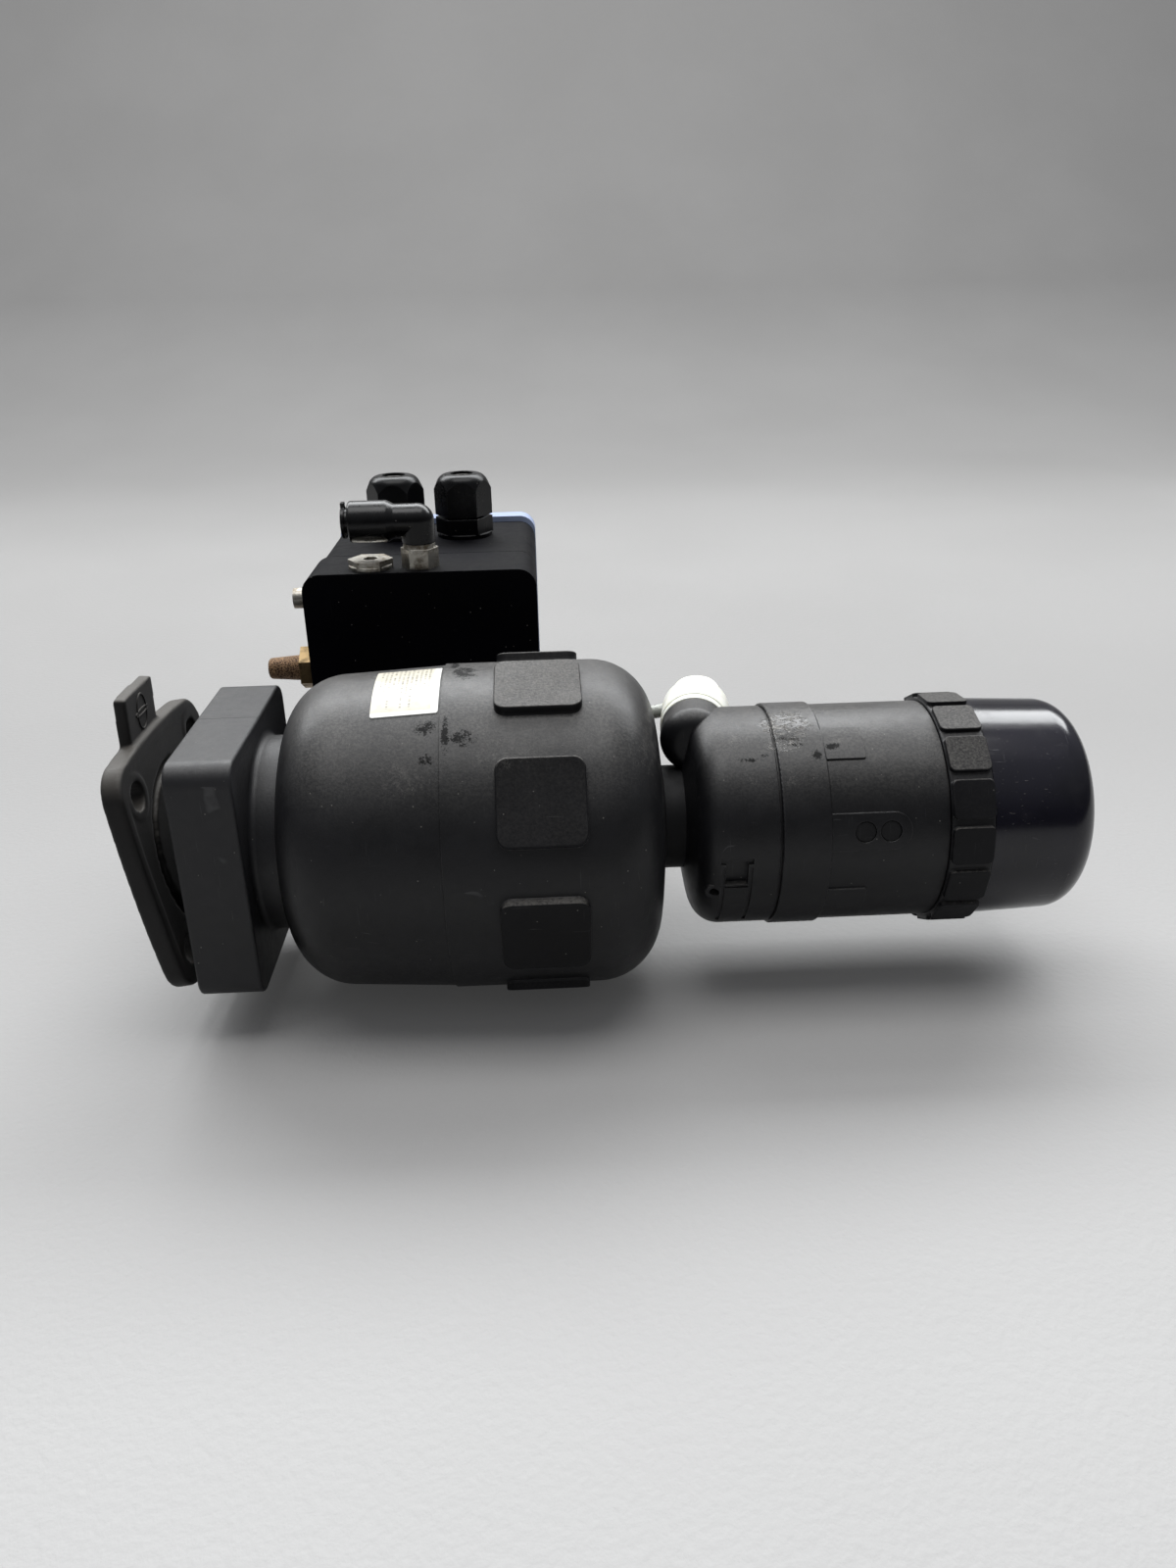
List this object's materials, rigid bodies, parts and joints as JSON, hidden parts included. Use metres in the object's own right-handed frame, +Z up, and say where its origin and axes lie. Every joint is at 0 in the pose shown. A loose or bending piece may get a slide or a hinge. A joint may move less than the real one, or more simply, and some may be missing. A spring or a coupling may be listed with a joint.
{
  "type": "diaphragm valve actuator",
  "caption": "Linear pneumatic piston actuator for a diaphragm valve, with control head, positioner box and hanging diaphragm.",
  "frame": {"origin": "centre of the bonnet flange's valve-side face, on the actuator's axis", "axes": "+X along the actuator's axis from the flange to the cap, +Y towards the positioner box, +Z up as it lies on a table"},
  "size_m": [0.3728, 0.2606, 0.1864],
  "materials": {
    "black_plastic": "fine-grained moulded plastic",
    "cap_plastic": "glossy, finely scratched",
    "diaphragm_rubber": "matte",
    "seal_rubber": "matte",
    "brass": "machined",
    "steel": "machined",
    "spring_steel": "drawn wire",
    "nickel": "nickel-plated, dirty",
    "bronze": "sintered, porous",
    "aluminium": "cast",
    "blue_plastic": "satin",
    "white_plastic": "satin",
    "tube_plastic": "translucent",
    "board": "solder mask",
    "label_film": "printed film"
  },
  "bodies": {
    "housing": {"bonnet_flange": "black_plastic", "thread_inserts": "brass", "bonnet_bolts": "steel", "stem_bush": "brass", "stem_seal": "seal_rubber", "barrel_lower": "black_plastic", "barrel_cover": "black_plastic", "barrel_seal": "seal_rubber", "closing_spring": "spring_steel", "type_label": "label_film", "neck_ring": "seal_rubber", "neck_nipple": "brass", "head_base": "black_plastic", "base_seal": "seal_rubber", "head_shell": "black_plastic", "window_plugs": "cap_plastic", "head_band": "black_plastic", "position_sensor": "aluminium", "sensor_board": "board", "pilot_valve": "white_plastic", "head_elbow_nut": "white_plastic", "head_elbow": "white_plastic", "link_tube": "tube_plastic", "box_tube_fitting": "nickel", "port_block": "black_plastic", "block_gasket": "seal_rubber", "electronics_housing": "black_plastic", "housing_screws": "steel", "cover_gasket": "seal_rubber", "rear_cover": "blue_plastic", "cover_screws": "steel", "circuit_board": "board", "terminal_block": "white_plastic", "valve_block": "aluminium", "mounting_saddle": "aluminium", "saddle_screws": "steel", "gland_bodies": "black_plastic", "gland_inserts": "seal_rubber", "elbow_base": "nickel", "port_plug": "nickel", "silencer_hex": "brass", "silencer_core": "bronze", "vent_bolt": "nickel"},
    "piston_rod": {"stem": "steel", "piston": "black_plastic", "piston_seal": "seal_rubber", "piston_guide": "white_plastic", "piston_nut": "steel", "compressor": "black_plastic", "feedback_rod": "steel"},
    "hanging_diaphragm": {"diaphragm": "diaphragm_rubber", "diaphragm_pin": "steel"},
    "cap": {"grip_ring": "black_plastic", "head_cap": "cap_plastic", "cap_seal": "seal_rubber"},
    "swivel_elbow": {"elbow_body": "black_plastic"},
    "release_collet": {"elbow_collet": "black_plastic"},
    "dome_nut_left": {"gland_nut_left": "black_plastic"},
    "dome_nut_right": {"gland_nut_right": "black_plastic"}
  },
  "joints": [
    {"name": "stem_stroke", "type": "slide", "parent": "housing", "child": "piston_rod", "axis": [1, 0, 0], "range_m": [0, 0.008], "stiffness_N_per_m": 2000, "springref_m": -0.02, "deforming": ["closing_spring"]},
    {"name": "diaphragm_tilt", "type": "hinge", "parent": "piston_rod", "child": "hanging_diaphragm", "pos_m": [-0.004, 0, 0], "axis": [0, 0.9703, 0.2419], "range_deg": [0, 8.4]},
    {"name": "cap_twist", "type": "hinge", "parent": "housing", "child": "cap", "pos_m": [0.295, 0, 0], "axis": [1, 0, 0], "range_deg": [0, 45]},
    {"name": "elbow_swivel", "type": "hinge", "parent": "housing", "child": "swivel_elbow", "pos_m": [0.084, 0.081, 0.1], "axis": [0, 0, 1], "continuous": true},
    {"name": "collet_press", "type": "slide", "parent": "swivel_elbow", "child": "release_collet", "axis": [1, 0, 0], "range_m": [0, 0.0012], "stiffness_N_per_m": 200, "springref_m": -0.001},
    {"name": "gland_left_turn", "type": "hinge", "parent": "housing", "child": "dome_nut_left", "pos_m": [0.0678, 0.147, 0.1], "axis": [0, 0, 1], "range_deg": [0, 90]},
    {"name": "gland_right_turn", "type": "hinge", "parent": "housing", "child": "dome_nut_right", "pos_m": [0.1004, 0.147, 0.1], "axis": [0, 0, 1], "range_deg": [0, 90]}
  ],
  "couplings": [
    {"joint": "diaphragm_tilt", "follows": "stem_stroke", "rad_per_m": 18.108}
  ]
}
